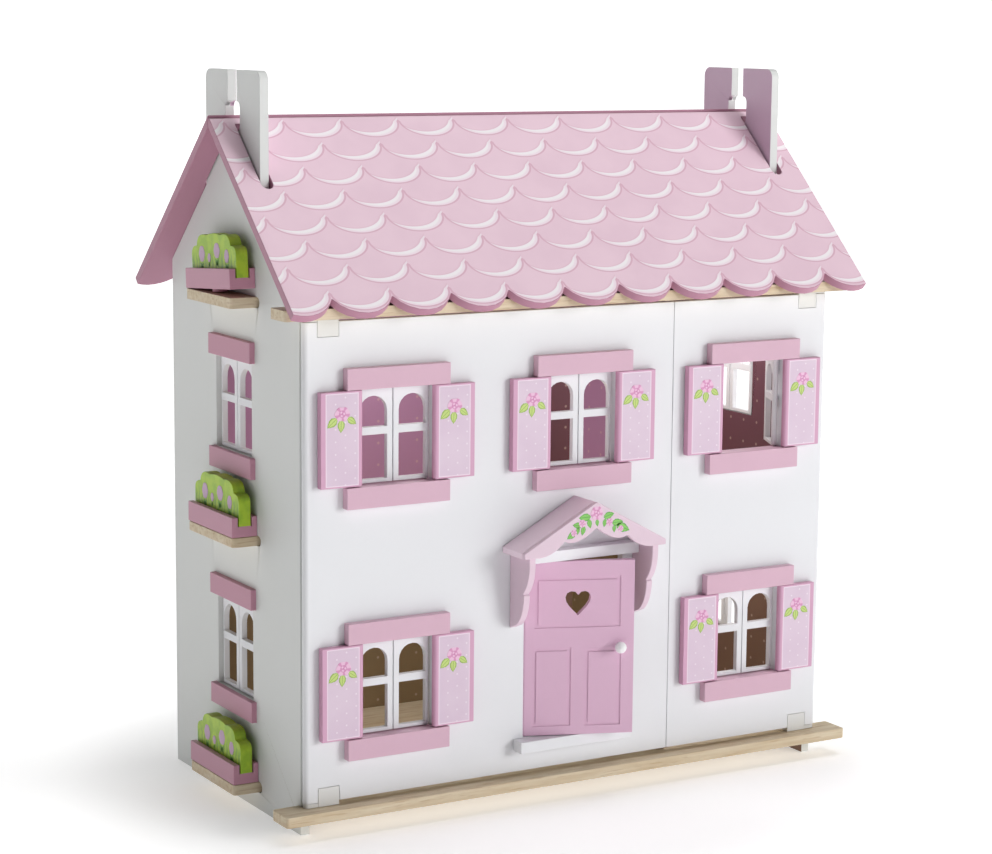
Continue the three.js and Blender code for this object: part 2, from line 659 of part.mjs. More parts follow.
/** The bush: a thick board with a cloud-shaped top edge, from the groove's floor up. */
function bushOutline() {
  const half = (PLANTER.y[1] - PLANTER.y[0]) / 2;
  const middle = (PLANTER.y[0] + PLANTER.y[1]) / 2;
  const top = PLANTER.bushHeight;
  const shape = new THREE.Shape();
  shape.moveTo(middle - half, 0);
  shape.lineTo(middle + half, 0);
  shape.lineTo(middle + half, top - 19);
  shape.quadraticCurveTo(middle + half, top - 11, middle + 37, top - 11);
  shape.quadraticCurveTo(middle + 35, top - 1, middle + 24, top - 1);
  shape.quadraticCurveTo(middle + 18, top - 1, middle + 15, top - 2);
  shape.quadraticCurveTo(middle, top + 2, middle - 15, top - 2);
  shape.quadraticCurveTo(middle - 18, top - 1, middle - 24, top - 1);
  shape.quadraticCurveTo(middle - 35, top - 1, middle - 37, top - 11);
  shape.quadraticCurveTo(middle - half, top - 11, middle - half, top - 19);
  return shape;
}

/** A flower box on the shelf whose top is at height z; the top one stands up on its loose peg. */
function planter(name, z, onPeg) {
  const { x, y, lift, peg, pegLength } = PLANTER;
  const foot = pin((x[0] + x[1]) / 2, (y[0] + y[1]) / 2, [-pegLength, 1], peg, 16);
  const box = onPeg ? join(plantedBox(), foot) : plantedBox();
  const mesh = piece(name, box.translate([0, -y[1], 0]), PINK);
  mesh.position.set(0, y[1], z + GAP);
  mesh.rotation.x = onPeg ? -Math.asin(lift / (y[1] - y[0])) : 0;
  return mesh;
}

// ---- Assembly --------------------------------------------------------------------------------

/** The front roof panel's top corner is cut flat: a thin line of the rear one shows above it. */
function frontRoof() {
  const y = [RIDGE.y - RIDGE_REBATE / Math.tan(ROOF_PITCH) - 5, RIDGE.y + 1];
  return cut(roofPanel(), block([-400, 400], y, [RIDGE.z - RIDGE_REBATE, RIDGE.z + 10]));
}

/** The rear panel is the plain one turned half a turn about the ridge's middle. */
function rearRoof() {
  return turnedPiece('rear_roof', roofPanel(), PALE_PINK, { x: 0, y: RIDGE.y }, Math.PI);
}

const house = new THREE.Group();
house.position.y = -ORIGIN_BEHIND_FRONT;
house.add(
  piece('gable_left', gable(-1), WHITE),
  piece('gable_right', gable(1), WHITE),
  piece('back_wall', backWall(), ROOM_COLOUR),
  piece('ground_floor', groundFloor(), BEECH),
  piece('first_floor', firstFloor(), BEECH),
  piece('attic_floor', atticFloor(), BEECH),
  piece('centre_partition', centrePartition(), ROOM_COLOUR),
  piece('front_roof', frontRoof(), PALE_PINK),
  rearRoof(),
  piece('left_panel', leftPanel(), WHITE),
  piece('right_panel', rightPanel(), WHITE),
  piece('left_top_pivot', panelPivot(-1, true), WHITE),
  piece('left_bottom_pivot', panelPivot(-1, false), WHITE),
  piece('right_top_pivot', panelPivot(1, true), WHITE),
  piece('right_bottom_pivot', panelPivot(1, false), WHITE),
  frontDoor(),
  piece('door_head', block(DOOR_HEAD.x, DOOR_HEAD.y, DOOR_HEAD.z), WHITE),
  piece('door_step', block(DOOR_STEP.x, DOOR_STEP.y, DOOR_STEP.z), WHITE),
  piece('porch_roof', porchRoof(), PALE_PINK),
  piece('porch_front', porchFront(), PALE_PINK),
  piece('porch_bracket_left', porchBracket(BRACKET.left), PINK),
  piece('porch_bracket_right', porchBracket(BRACKET.right), PINK),
  ...FRONT_WINDOWS.map(frontWindow),
  ...SIDE_WINDOWS.map(sideWindow),
  planter('top_planter', FLOORS.attic.z[1], true),
  planter('middle_planter', FLOORS.first.z[1], false),
  planter('bottom_planter', FLOORS.ground.z[1], false),
);

const dollhouse = new THREE.Group();
dollhouse.add(house);

export default dollhouse;
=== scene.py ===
"""Paint, wood and printed decoration for the wooden dollhouse, with floor, lights and camera."""
import json
import math

import bmesh
import bpy
from mathutils import Matrix, Vector

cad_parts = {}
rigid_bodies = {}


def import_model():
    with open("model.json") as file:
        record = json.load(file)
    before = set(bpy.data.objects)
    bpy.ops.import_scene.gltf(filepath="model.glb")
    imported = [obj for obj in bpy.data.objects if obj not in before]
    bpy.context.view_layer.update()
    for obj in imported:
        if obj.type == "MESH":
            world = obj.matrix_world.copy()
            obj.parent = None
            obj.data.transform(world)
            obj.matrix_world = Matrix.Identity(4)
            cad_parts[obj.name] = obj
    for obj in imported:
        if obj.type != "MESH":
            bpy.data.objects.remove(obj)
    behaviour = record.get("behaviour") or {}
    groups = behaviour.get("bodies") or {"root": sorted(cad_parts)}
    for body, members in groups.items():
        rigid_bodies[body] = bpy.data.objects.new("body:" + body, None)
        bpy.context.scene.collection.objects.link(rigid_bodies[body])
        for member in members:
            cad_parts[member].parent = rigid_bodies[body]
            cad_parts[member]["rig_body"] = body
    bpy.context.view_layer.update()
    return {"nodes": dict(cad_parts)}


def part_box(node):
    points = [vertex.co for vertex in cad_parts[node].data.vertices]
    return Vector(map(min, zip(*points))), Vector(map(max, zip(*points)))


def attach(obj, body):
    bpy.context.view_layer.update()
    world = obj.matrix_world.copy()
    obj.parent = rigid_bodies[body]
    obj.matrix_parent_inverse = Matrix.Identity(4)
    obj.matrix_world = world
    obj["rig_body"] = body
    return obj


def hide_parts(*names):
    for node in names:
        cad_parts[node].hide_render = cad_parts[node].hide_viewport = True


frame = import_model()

MM = 0.001
NODES = frame["nodes"]

# ---- Places read off the CAD nodes --------------------------------------------------------------

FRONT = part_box("right_panel")[0].y                 # outer face of the front panels
RIDGE_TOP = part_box("rear_roof")[1].z
RIDGE_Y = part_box("rear_roof")[0].y

# ---- Places on the house, as it is built --------------------------------------------------------

ROOF_PITCH = math.atan(0.929)                      # the roof rises 0.929 for each 1 it goes back
FIRST_FLOOR = 250.8 * MM                           # room colours change inside the boards
ATTIC_FLOOR = 466.5 * MM
PARTITION = 103 * MM
GABLE_FACE = 280.05 * MM                           # only a gable's window bars stand further out
REST_GAP = 0.3 * MM                                # between a flower box and its shelf
BOX_REAR = 193 * MM                                # behind the front
BOX_LENGTH = 97                                    # mm
TOP_BOX_RISE = 7.5                                 # mm that the top box is tipped up by in front
BUSH_FACE = 298                                    # mm from the middle to a bush's outer face
BUSH_MIDDLE = 292.25 * MM
BUSH_HALF = 6.3 * MM                               # the board, but not the sides of its groove
BUSH_FOOT = 9.9 * MM                               # just over the bottom of its groove

# ---- How far edges are rounded ------------------------------------------------------------------

BOARD_BEVEL = 0.6 * MM
WALL_BEVEL = 0.4 * MM
THICK_BEVEL = 0.9 * MM
PORCH_BEVEL = 0.8 * MM
DOOR_BEVEL = 0.5 * MM
BAR_BEVEL = 1.3 * MM
CASEMENT_BEVEL = 0.35 * MM
ARC_STEP = 1.2 * MM                                # a gable's edges up to this long stay sharp
ROOF_MERGE = 0.16 * MM                             # joins points this near, at the roof slots' arcs

# ---- Roof print, in metres ----------------------------------------------------------------------

SCALLOP_PITCH = 58.3 * MM
ROW_STEP = 29.2 * MM
FIRST_LOW = 235.5 * MM                             # printed line's lowest point in the eave row
SCALLOP_DEPTH = 20 * MM
SCALLOP_SPAN = 24 * MM                             # turns the ellipse measure into a distance
CUSP_RISE = 0.7                                    # how fast that distance grows above a cusp
PRINT_TOP = 4.3 * MM                               # the print starts this far down from the ridge
LINE_WIDTH = 1.6 * MM
CRESCENT_SHIFT = (3.7 * MM, 6.2 * MM)              # its inner edge is the scallop moved left and up

# ---- Shutter print, in metres -------------------------------------------------------------------

SHUTTER_BAND = 4.6 * MM                            # from a shutter's edge to its thin pale line
SHUTTER_INSET = 5.5 * MM                           # and to its dotted field
DOT_COLUMN = 9.5 * MM
DOT_ROW = 11 * MM

# ---- Camera, lights and floor, in metres, degrees and watts -------------------------------------

CAMERA_PLACE = (-1.2468, FRONT - 1.97885, 0.7188)
CAMERA_TURN = (30.342, -9.031, 0.505)              # to the right of straight back, up, and roll
CAMERA_LENS = 93.72                                # mm
KEY_LIGHT = {"place": (3.3, -5.1, 1.8), "target": (0, 0, 0.16), "size": (2.6, 2.2), "power": 168}
TOP_LIGHT = {"place": (0.55, -0.2, 3.6), "target": (0.1, 0, 0), "size": (1.5, 2.4), "power": 54}
WORLD_LIGHT = 0.04
FLOOR_HALF_WIDTH = 22
FLOOR_NEAR = -26
FLOOR_BEND = 12                                    # where the floor starts to curve up
BEND_RADIUS = 4
FLOOR_TOP = 12
FLOOR_DROP = 0.0002                                # keeps the floor clear of the house
# The floor's glow is weakest near the house, a painted shadow round its foot, and rises outwards.
FLOOR_GLOW = 0.36
GLOW_RINGS = ((0.38, 0.08, 0.26), (1.9, 1.4, 0.3))  # how far out, how soft, and the glow it adds

# Small lamps that stand for the light that open rooms let in: name, x, z and watts.
ROOM_LIGHTS = (
    ("ground_left_room", -0.09, 0.24, 0.17),
    ("ground_right_room", 0.19, 0.24, 0.25),
    ("first_left_room", -0.09, 0.45, 0.25),
    ("first_right_room", 0.19, 0.45, 0.3),
)

# ---- Flowers and leaves, in mm ------------------------------------------------------------------

# A bush's flower heads: place along the box, height over its foot, half width and half height.
BUSH_FLOWERS = (
    (25.5, 31, 6.4, 7.6), (9.5, 27.5, 3.4, 4.2),
    (-7.5, 34, 6.6, 7.2), (-28.5, 29, 4.8, 6.4),
)
# A shutter rose's leaves from stalk to tip, measured from the middle of the rose.
ROSE_LEAVES = (
    ((-5, -3.5), (-14.6, -11.5)),
    ((-0.8, -5), (-1.4, -16.5)),
    ((5, -3.5), (13.6, -9.5)),
)
ROSE_RADIUS = 6.8
ROSE_STRETCH = (1.12, 0.96)
# How far each kind of plate stands off the face it lies on.
RELIEF = {
    "shutter_leaf": 0.12, "shutter_rose": 0.26,
    "bush_flower": 0.3, "bush_blade": 0.15,
    "garland_leaf": 0.14, "garland_rose": 0.3,
}
# The porch's leaves from stalk to tip, as x from its middle and height over the ground.
GARLAND_LEAVES = (
    ((-6.7, 272.1), (-19.7, 271.9)), ((-9.1, 270.1), (-6.8, 261.2)),
    ((-15.6, 264.5), (-26.2, 266.1)), ((-13.7, 264.3), (-16.0, 255.3)),
    ((-19.9, 263.8), (-20.8, 256.6)), ((-22.2, 259.5), (-32.0, 253.7)),
    ((7.0, 270.3), (18.6, 273.4)), ((8.9, 269.0), (7.5, 261.0)),
    ((-0.1, 269.3), (0.6, 262.3)), ((16.0, 264.4), (28.4, 264.7)),
    ((18.6, 262.4), (18.7, 255.1)), ((21.1, 262.2), (35.4, 255.8)),
)
# The porch's roses: x, height and radius.
GARLAND_ROSES = (
    (-0.4, 274.9, 6.6), (-15.8, 266.6, 3.7), (13.3, 265.5, 3.6),
    (-24.6, 258.6, 3.2), (25.6, 258.4, 3.0),
)

# ---- Colours, as sRGB values --------------------------------------------------------------------

WHITE = (235, 236, 239)
# A white a little darker than WHITE for the outer faces of the gables and back wall: painted shade.
OUTER_WHITE_PAINTED_SHADE = (222, 224, 222)
# Brighter than WHITE: painted light on the door knob.
KNOB_WHITE_PAINTED_LIGHT = (249, 249, 250)
PLASTIC = (228, 228, 226)
TRIM_PINK = (218, 180, 198)
# A darker, deeper copy of TRIM_PINK for the flower boxes and gable window bars: painted shade.
SIDE_PINK_PAINTED_SHADE = (198, 144, 164)
EDGE_PINK = (184, 134, 154)
SHUTTER_BORDER = (216, 168, 196)
SHUTTER_FIELD = (225, 205, 221)
SHUTTER_MOTTLE = (221, 199, 217)
SHUTTER_LINE = (240, 222, 235)
SHUTTER_DOT = (248, 238, 246)
SHUTTER_BOARD = (212, 160, 188)
DOOR_PINK = (227, 187, 212)
PORCH_PINK = (228, 204, 218)
# A lighter copy of PORCH_PINK for the porch roof: painted light from above.
PORCH_TOP_PAINTED_LIGHT = (250, 228, 241)
ROOF_PINK = (240, 209, 223)
ROOF_MOTTLE = (235, 203, 218)
ROOF_LINE = (217, 168, 189)
ROOF_WHITE = (250, 243, 247)
CRESCENT_SHADE = (243, 218, 231)
BEECH_LIGHT = (226, 212, 186)
BEECH_DARK = (206, 184, 150)
BEECH_FLECK = (176, 140, 98)
INNER_MAUVE = (213, 184, 205)
ROSE = (220, 152, 194)
ROSE_PALE = (243, 208, 230)
ROSE_HEART = (196, 116, 168)
LEAF = (204, 222, 134)
LEAF_DARK = (132, 172, 66)
GARLAND_LEAF = (142, 206, 104)
GARLAND_DARK = (78, 156, 74)
BUSH_LIME = (178, 210, 58)
BUSH_DARK = (140, 184, 48)
BUSH_FLOWER = (200, 168, 196)
BUSH_STROKE = (96, 158, 62)
BLADE = (120, 184, 66)
BLADE_DARK = (84, 150, 58)
FLOOR_GREY = (240, 240, 240)
ROOM_GROUND_LEFT = (150, 128, 96)
ROOM_GROUND_RIGHT = (124, 96, 80)
ROOM_FIRST_LEFT = (190, 146, 182)
ROOM_FIRST_RIGHT = (116, 78, 88)
ROOM_DOT = (232, 206, 190)


def linear(colour):
    """An sRGB triple from 0 to 255 as linear values with alpha."""
    def one(value):
        value /= 255
        return value / 12.92 if value <= 0.04045 else ((value + 0.055) / 1.055) ** 2.4
    return tuple(one(value) for value in colour) + (1.0,)


# ---- Node graphs --------------------------------------------------------------------------------

class Number:
    """A number in a shader's node graph, with ordinary arithmetic."""

    def __init__(self, graph, socket):
        self.graph = graph
        self.socket = socket

    def __add__(self, other):
        return self.graph.math("ADD", self, other)

    def __radd__(self, other):
        return self.graph.math("ADD", other, self)

    def __sub__(self, other):
        return self.graph.math("SUBTRACT", self, other)

    def __rsub__(self, other):
        return self.graph.math("SUBTRACT", other, self)

    def __mul__(self, other):
        return self.graph.math("MULTIPLY", self, other)

    def __rmul__(self, other):
        return self.graph.math("MULTIPLY", other, self)

    def __truediv__(self, other):
        return self.graph.math("DIVIDE", self, other)


class Graph:
    """A material being built from nodes on the piece's own coordinates."""

    def __init__(self, name):
        self.material = bpy.data.materials.new(name)
        self.material.use_nodes = True
        self.tree = self.material.node_tree
        self.surface = self.tree.nodes["Principled BSDF"]
        self.coordinates = self.tree.nodes.new("ShaderNodeTexCoord")
        self.point = self.coordinates.outputs["Object"]
        self.normal = self.coordinates.outputs["Normal"]

    def put(self, socket, value):
        """Link or set one input socket."""
        if isinstance(value, Number):
            value = value.socket
        if isinstance(value, bpy.types.NodeSocket):
            self.tree.links.new(value, socket)
        else:
            socket.default_value = value

    def math(self, operation, *values):
        """One arithmetic step on numbers or sockets."""
        node = self.tree.nodes.new("ShaderNodeMath")
        node.operation = operation
        for socket, value in zip(node.inputs, values):
            self.put(socket, value)
        return Number(self, node.outputs[0])

    def xyz(self, vector=None):
        """The three parts of a vector, the object point by default."""
        node = self.tree.nodes.new("ShaderNodeSeparateXYZ")
        self.put(node.inputs[0], vector or self.point)
        return [Number(self, node.outputs[i]) for i in range(3)]

    def above(self, value, edge, soft):
        """0 below the edge and 1 above it, with a soft step."""
        node = self.tree.nodes.new("ShaderNodeMapRange")
        node.interpolation_type = "SMOOTHSTEP"
        self.put(node.inputs["Value"], value)
        self.put(node.inputs["From Min"], edge - soft)
        self.put(node.inputs["From Max"], edge + soft)
        return Number(self, node.outputs["Result"])

    def noise(self, scale, detail=2.0, stretch=(1, 1, 1)):
        """Smooth noise around 0.5; stretch scales each axis of the point first."""
        mapping = self.tree.nodes.new("ShaderNodeMapping")
        mapping.inputs["Scale"].default_value = stretch
        self.put(mapping.inputs["Vector"], self.point)
        node = self.tree.nodes.new("ShaderNodeTexNoise")
        node.inputs["Scale"].default_value = scale
        node.inputs["Detail"].default_value = detail
        self.put(node.inputs["Vector"], mapping.outputs[0])
        return Number(self, node.outputs[0])

    def mix(self, factor, first, second):
        """The first colour where the factor is 0 and the second where it is 1."""
        node = self.tree.nodes.new("ShaderNodeMix")
        node.data_type = "RGBA"
        self.put(node.inputs[0], factor)
        for socket, colour in ((node.inputs[6], first), (node.inputs[7], second)):
            self.put(socket, linear(colour) if isinstance(colour, tuple) else colour)
        return node.outputs[2]

    def scaled(self, colour, amount):
        """A colour made lighter or darker by a number around 1."""
        node = self.tree.nodes.new("ShaderNodeVectorMath")
        node.operation = "SCALE"
        self.put(node.inputs[0], linear(colour)[:3] if isinstance(colour, tuple) else colour)
        self.put(node.inputs["Scale"], amount)
        return node.outputs[0]

    def finish(self, colour, roughness, bump=None, depth=0.1 * MM):
        """Set the surface, and give the material back."""
        self.put(self.surface.inputs["Base Color"], colour)
        self.put(self.surface.inputs["Roughness"], roughness)
        self.surface.inputs["Specular IOR Level"].default_value = 0.35
        if bump is not None:
            node = self.tree.nodes.new("ShaderNodeBump")
            node.inputs["Distance"].default_value = depth
            node.inputs["Strength"].default_value = 0.5
            self.put(node.inputs["Height"], bump)
            self.put(self.surface.inputs["Normal"], node.outputs[0])
        return self.material


def speckle(graph, amount):
    """A multiplier around 1: broad unevenness with a little fine grain."""
    broad = graph.noise(9, 3) - 0.5
    fine = graph.noise(260, 2) - 0.5
    return 1 + broad * amount + fine * (amount * 0.4)


def paint(name, colour, roughness=0.42, unevenness=0.06):
    """Brushed-on satin paint over wood: faint mottling and a very fine orange-peel relief."""
    graph = Graph(name)
    shade = graph.scaled(colour, speckle(graph, unevenness))
    sheen = roughness + (graph.noise(40, 3) - 0.5) * 0.14
    return graph.finish(shade, sheen, graph.noise(900, 2), 0.05 * MM)


def beech():
    """Bare beech: grain along the house's width, with short darker flecks."""
    graph = Graph("beech_wood")
    streak = graph.noise(26, 4, (0.6, 9, 9))
    rings = graph.noise(6, 2, (0.4, 7, 7))
    fleck = graph.above(graph.noise(150, 2, (0.25, 1.5, 4)), 0.63, 0.05)
    tone = streak * 0.65 + rings * 0.35
    wood = graph.mix(graph.above(tone, 0.5, 0.22), BEECH_LIGHT, BEECH_DARK)
    wood = graph.mix(fleck * 0.35, wood, BEECH_FLECK)
    return graph.finish(wood, 0.5 + streak * 0.15, streak, 0.12 * MM)


# ---- Printed roof -------------------------------------------------------------------------------

def scallop_row(graph, x, along, odd):
    """How far a point is inside a row's scallop edge, and inside the crescent's inner edge."""
    shift = 0.5 if odd else 0.0
    across = graph.math("WRAP", x / SCALLOP_PITCH - shift, 0.5, -0.5) * 2

    def inside(sideways, upwards):
        u = across + sideways / (SCALLOP_PITCH / 2)
        v = graph.math("MAXIMUM", along + upwards, 0.0) / SCALLOP_DEPTH
        above_cusp = graph.math("MAXIMUM", 0.0 - along, 0.0)
        return (1 - graph.math("SQRT", u * u + v * v)) * SCALLOP_SPAN + above_cusp * CUSP_RISE

    return inside(0.0, 0.0), inside(*CRESCENT_SHIFT)


def roof_print():
    """Overlapping pink scallop tiles on the upper face; dusky pink on the edges and underneath."""
    graph = Graph("roof_scallops")
    x, y, z = graph.xyz()
    away = graph.math("ABSOLUTE", y - RIDGE_Y)
    down = away * math.cos(ROOF_PITCH) + (RIDGE_TOP - z) * math.sin(ROOF_PITCH)
    rows = (FIRST_LOW - down) / ROW_STEP
    row = graph.math("FLOOR", rows)
    part = rows - row
    odd = graph.math("MODULO", row + 20, 2.0)

    def choose(factor, first, second):
        return first + (second - first) * factor

    # A point is measured against the row it lies in and, past that row's edge, the one beneath.
    along = SCALLOP_DEPTH - part * ROW_STEP
    even, odd_row = scallop_row(graph, x, along, False), scallop_row(graph, x, along, True)
    here = [choose(odd, first, second) for first, second in zip(even, odd_row)]
    along = SCALLOP_DEPTH - (part + 1) * ROW_STEP
    even, odd_row = scallop_row(graph, x, along, False), scallop_row(graph, x, along, True)
    beneath = [choose(odd, first, second) for first, second in zip(odd_row, even)]
    outside = graph.math("LESS_THAN", here[0], 0.0)
    distance, hollow = (choose(outside, first, second) for first, second in zip(here, beneath))

    soft = 0.35 * MM
    line = 1 - graph.above(distance, LINE_WIDTH, soft)
    white = graph.above(distance, LINE_WIDTH, soft) * (1 - graph.above(hollow, 0.0, soft))
    shade_line = graph.above(hollow, 0.0, soft) * (1 - graph.above(hollow, 1.4 * MM, 0.6 * MM))
    lower_white = 1 - graph.above(distance, LINE_WIDTH + 2.4 * MM, 0.8 * MM)

    base = graph.mix(graph.above(graph.noise(22, 3), 0.52, 0.2), ROOF_PINK, ROOF_MOTTLE)
    base = graph.mix(shade_line * 0.28, base, ROOF_LINE)
    crescent = graph.mix(lower_white * 0.55, ROOF_WHITE, CRESCENT_SHADE)
    printed = graph.mix(white, base, crescent)
    printed = graph.mix(line * 0.75, printed, ROOF_LINE)

    facing = graph.xyz(graph.normal)[2]
    top = graph.above(facing, 0.6, 0.05) * graph.above(down, PRINT_TOP, 0.2 * MM)
    edge = graph.scaled(EDGE_PINK, speckle(graph, 0.08))
    return graph.finish(graph.mix(top, edge, printed), 0.48, graph.noise(700, 2), 0.05 * MM)


# ---- Printed shutters ---------------------------------------------------------------------------

def shutter_print(name, low, high):
    """Border band, thin pale line and dotted field on the front face of one shutter."""
    graph = Graph(f"{name}_print")
    x, _, z = graph.xyz()
    from_side = graph.math("MINIMUM", x - low.x, high.x - x)
    from_end = graph.math("MINIMUM", z - low.z, high.z - z)
    inset = graph.math("MINIMUM", from_side, from_end)
    soft = 0.25 * MM
    line = graph.above(inset, SHUTTER_BAND, soft)
    field = graph.above(inset, SHUTTER_INSET, soft)
    across = (x - low.x) / DOT_COLUMN
    column = graph.math("FLOOR", across)
    up = (z - low.z) / DOT_ROW + graph.math("MODULO", column + 8, 2.0) * 0.5
    dot_x = graph.math("FRACT", across) - 0.5
    dot_z = (graph.math("FRACT", up) - 0.5) * (DOT_ROW / DOT_COLUMN)
    spread = graph.math("SQRT", dot_x * dot_x + dot_z * dot_z)
    dots = (1 - graph.above(spread, 0.085, 0.035)) * field
    pale = graph.mix(graph.above(graph.noise(30, 2), 0.5, 0.2), SHUTTER_FIELD, SHUTTER_MOTTLE)
    face = graph.mix(line, SHUTTER_BORDER, SHUTTER_LINE)
    face = graph.mix(field, face, pale)
    face = graph.mix(dots * 0.6, face, SHUTTER_DOT)
    front = 1 - graph.above(graph.xyz(graph.normal)[1], -0.85, 0.06)
    board = graph.scaled(SHUTTER_BOARD, speckle(graph, 0.08))
    return graph.finish(graph.mix(front, board, face), 0.4, graph.noise(800, 2), 0.05 * MM)


# ---- Room walls ---------------------------------------------------------------------------------

def room_paper(name, outside=None, outside_normal=0.0, bars=False):
    """A colour and small dots for each room; white darkened as painted shade on the outer face, and
    pink darkened as painted shade on window bars.
    """
    graph = Graph(name)
    x, y, z = graph.xyz()
    upstairs = graph.above(z, FIRST_FLOOR, 1 * MM)
    right = graph.above(x, PARTITION, 1 * MM)
    attic = graph.above(z, ATTIC_FLOOR, 1 * MM)
    lower = graph.mix(right, ROOM_GROUND_LEFT, ROOM_GROUND_RIGHT)
    upper = graph.mix(right, ROOM_FIRST_LEFT, ROOM_FIRST_RIGHT)
    wall = graph.mix(upstairs, lower, upper)
    wall = graph.mix(attic, wall, INNER_MAUVE)
    cell = 22 * MM
    u = graph.math("FRACT", (x + y) / cell) - 0.5
    v = graph.math("FRACT", z / cell) - 0.5
    spread = graph.math("SQRT", u * u + v * v)
    dots = (1 - graph.above(spread, 0.06, 0.025)) * (1 - attic)
    wall = graph.mix(dots * 0.4, wall, ROOM_DOT)
    wall = graph.scaled(wall, speckle(graph, 0.06))
    if outside is not None:
        facing = graph.xyz(graph.normal)[outside] * outside_normal
        inner = graph.above(facing, 0.5, 0.1)
        # Outer faces take the darker white, as painted shade on the house's sides and back.
        outer = graph.scaled(OUTER_WHITE_PAINTED_SHADE, speckle(graph, 0.03))
        wall = graph.mix(inner, outer, wall)
    if bars:
        proud = graph.above(graph.math("ABSOLUTE", x), GABLE_FACE, 0.02 * MM)
        # Window bars that stand proud of the gable get the darker pink, as painted shade.
        wall = graph.mix(proud, wall, graph.scaled(SIDE_PINK_PAINTED_SHADE, speckle(graph, 0.06)))
    return graph.finish(wall, 0.45, graph.noise(800, 2), 0.05 * MM)


# ---- Pieces from the CAD nodes ------------------------------------------------------------------

def refined(name, material, bevel, shortest=0.0, merge=0.001 * MM):
    """A copy of a CAD node that is shown in its place, with its edges softened.

    Points nearer than merge are joined, and edges up to the shortest length stay sharp.
    """
    node = NODES[name]
    mesh = node.data.copy()
    mesh.name = f"{name}_shape"
    shape = bmesh.new()
    shape.from_mesh(mesh)
    bmesh.ops.remove_doubles(shape, verts=shape.verts, dist=merge)
    bmesh.ops.dissolve_limit(
        shape, angle_limit=math.radians(0.6), verts=shape.verts, edges=shape.edges)
    bmesh.ops.connect_verts_concave(shape, faces=shape.faces)
    weight = shape.edges.layers.float.new("bevel_weight_edge")
    for edge in shape.edges:
        sharp = edge.calc_face_angle(0) > math.radians(32)
        edge[weight] = float(sharp and edge.calc_length() > shortest)
    shape.to_mesh(mesh)
    shape.free()
    mesh.materials.clear()
    mesh.materials.append(material)
    obj = bpy.data.objects.new(f"{name}_look", mesh)
    bpy.context.scene.collection.objects.link(obj)
    soften(obj, bevel)
    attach(obj, node["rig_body"])
    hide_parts(name)
    return obj


def soften(obj, width):
    """Round the sharp edges and smooth the rest."""
    bevel = obj.modifiers.new("soft_edges", "BEVEL")
    bevel.width = width
    bevel.segments = 2
    bevel.limit_method = "WEIGHT"
    bevel.use_clamp_overlap = True
    bevel.miter_outer = "MITER_ARC"
    bevel.face_strength_mode = "FSTR_ALL"
    for face in obj.data.polygons:
        face.use_smooth = True
    normals = obj.modifiers.new("even_shading", "WEIGHTED_NORMAL")
    normals.keep_sharp = True
    normals.weight = 100
    normals.use_face_influence = True


def far_casements():
    """The right gable's windows have the same casements as the left one's, mirrored."""
    for name in [name for name in NODES if name.startswith("side_")]:
        mesh = bpy.data.objects[f"{name}_look"].data.copy()
        mesh.transform(Matrix.Diagonal((-1, 1, 1, 1)))
        mesh.flip_normals()
        obj = bpy.data.objects.new(f"far_{name}", mesh)
        bpy.context.scene.collection.objects.link(obj)
        soften(obj, CASEMENT_BEVEL)
        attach(obj, "house")


# ---- Small printed and carved decoration --------------------------------------------------------

def raised(name, outline, size, height, place, material, body):
    """A thin closed plate laid on a face; its UV map is the outline divided by the size."""
    shape = bmesh.new()
    drawn = shape.loops.layers.uv.new("drawn")
    flat = {}
    rings = []
    for scale, z in ((1.0, 0.0), (0.96, height)):
        ring = [shape.verts.new((u * scale, v * scale, z)) for u, v in outline]
        flat.update({vert: (u / size, v / size) for vert, (u, v) in zip(ring, outline)})
        rings.append(ring)
    lower, upper = rings
    shape.faces.new(list(reversed(lower)))
    shape.faces.new(upper)
    for i, first in enumerate(lower):
        j = (i + 1) % len(lower)
        shape.faces.new((first, lower[j], upper[j], upper[i]))
    for face in shape.faces:
        for loop in face.loops:
            loop[drawn].uv = flat[loop.vert]
    mesh = bpy.data.meshes.new(f"{name}_shape")
    shape.to_mesh(mesh)
    shape.free()
    mesh.transform(place)
    mesh.materials.append(material)
    obj = bpy.data.objects.new(name, mesh)
    bpy.context.scene.collection.objects.link(obj)
    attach(obj, body)
    return obj


def leaf_outline(length, width):
    """A pointed leaf from its stalk at the origin along +U."""
    steps = 10
    side = []
    for i in range(steps + 1):
        t = i / steps
        half = width / 2 * math.sin(math.pi * t ** 0.8) * (1 - 0.12 * math.cos(9 * math.pi * t))
        side.append((length * t, half))
    below = [(u, -v) for u, v in side[:-1]]
    return below + [side[-1]] + list(reversed(side[1:-1]))


def bloom_outline(radius):
    """A rose's outer edge with six soft petals."""
    points = []
    for i in range(36):
        angle = 2 * math.pi * i / 36
        r = radius * (0.93 + 0.07 * abs(math.cos(3 * angle)))
        points.append((r * math.cos(angle), r * math.sin(angle)))
    return points


